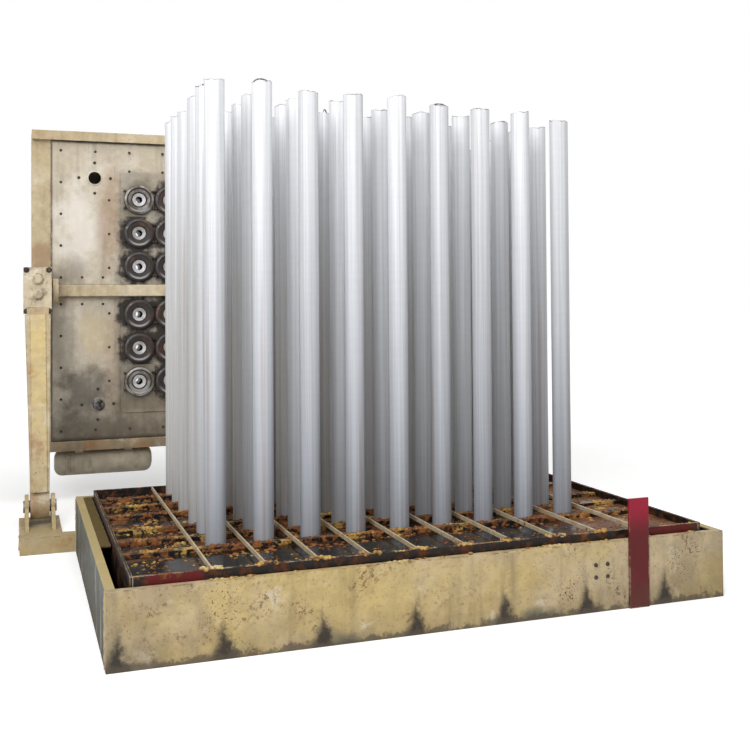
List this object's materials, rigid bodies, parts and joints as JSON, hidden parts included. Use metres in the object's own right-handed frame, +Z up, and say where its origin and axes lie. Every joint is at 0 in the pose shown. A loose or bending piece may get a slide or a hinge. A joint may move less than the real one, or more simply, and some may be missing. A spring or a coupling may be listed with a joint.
{
  "type": "billet casting machine",
  "caption": "Vertical billet casting machine: pit-mouth frame, lifting platen with standing billets, and a mould table tilted upright on two swing arms.",
  "frame": {"origin": "middle of the front beam's underside, on the floor", "axes": "+X to the right along the pit mouth, +Y from its front to the table at the rear, +Z up"},
  "size_m": [3.636, 4.397, 2.805],
  "materials": {
    "cream_paint": "cream-yellow gloss paint, rust-speckled",
    "side_paint": "weathered grey paint",
    "red_paint": "dark red paint, chipped",
    "panel_paint": "dirty cream-white paint",
    "header_paint": "dusty cream paint",
    "pin_steel": "turned steel",
    "mould_metal": "sooty cast aluminium with a bright mouth ring",
    "refractory": "pale refractory board",
    "platen_black": "black, wet and oily",
    "platen_edge_steel": "worn steel, bright on top",
    "rusty_bar": "orange rust and grease",
    "starter_metal": "dull cast aluminium",
    "billet_metal": "as-cast matte skin",
    "ram_steel": "plated ram"
  },
  "bodies": {
    "root": {"front_beam": "cream_paint", "rear_beam": "cream_paint", "left_beam": "side_paint", "right_beam": "side_paint", "cover_plates": "cream_paint", "red_post": "red_paint", "hinge_cross_beam": "cream_paint", "left_hinge_bracket": "cream_paint", "right_hinge_bracket": "cream_paint", "hinge_pins": "pin_steel"},
    "arms": {"left_arm": "cream_paint", "right_arm": "cream_paint", "trunnion_blocks": "cream_paint"},
    "table": {"left_end_rail": "cream_paint", "right_end_rail": "cream_paint", "top_rail": "cream_paint", "bottom_rail": "cream_paint", "mid_rail": "cream_paint", "trunnion_pins": "pin_steel", "upper_side_panels": "panel_paint", "lower_side_panels": "panel_paint", "upper_mould_plate": "panel_paint", "lower_mould_plate": "panel_paint", "back_covers": "panel_paint", "back_strips": "panel_paint", "upper_pan_tiles": "refractory", "lower_pan_tiles": "refractory", "upper_hot_top_pan": "refractory", "lower_hot_top_pan": "refractory", "launder_floor": "refractory", "main_launder": "refractory", "launder_ends": "refractory", "water_headers": "header_paint", "mould_row_1": "mould_metal", "mould_row_2": "mould_metal", "mould_row_3": "mould_metal", "mould_row_4": "mould_metal", "mould_row_5": "mould_metal", "mould_row_6": "mould_metal"},
    "platen": {"platen_deck": "platen_black", "starter_blocks": "starter_metal", "platen_side_edges": "platen_edge_steel", "platen_end_edges": "platen_edge_steel", "transverse_bars": "rusty_bar", "guide_bars": "platen_edge_steel", "platen_girders": "platen_black", "lift_ram": "ram_steel", "billet_row_1": "billet_metal", "billet_row_2": "billet_metal", "billet_row_3": "billet_metal", "billet_row_4": "billet_metal", "billet_row_5": "billet_metal", "billet_row_6": "billet_metal"}
  },
  "joints": [
    {"name": "arm_swing", "type": "hinge", "parent": "root", "child": "arms", "pos_m": [0, 2.99975, 0.15], "axis": [1, 0, 0], "range_deg": [0, 116.19]},
    {"name": "table_trunnion", "type": "hinge", "parent": "arms", "child": "table", "pos_m": [0, 3.853, 1.59], "axis": [1, 0, 0], "range_deg": [-26.69, 0]},
    {"name": "platen_lift", "type": "slide", "parent": "root", "child": "platen", "axis": [0, 0, 1], "range_m": [-2.667, 0]}
  ],
  "couplings": [
    {"joint": "table_trunnion", "follows": "arm_swing", "ratio": -0.22541},
    {"joint": "platen_lift", "follows": "arm_swing", "m_per_rad": -1.31}
  ]
}
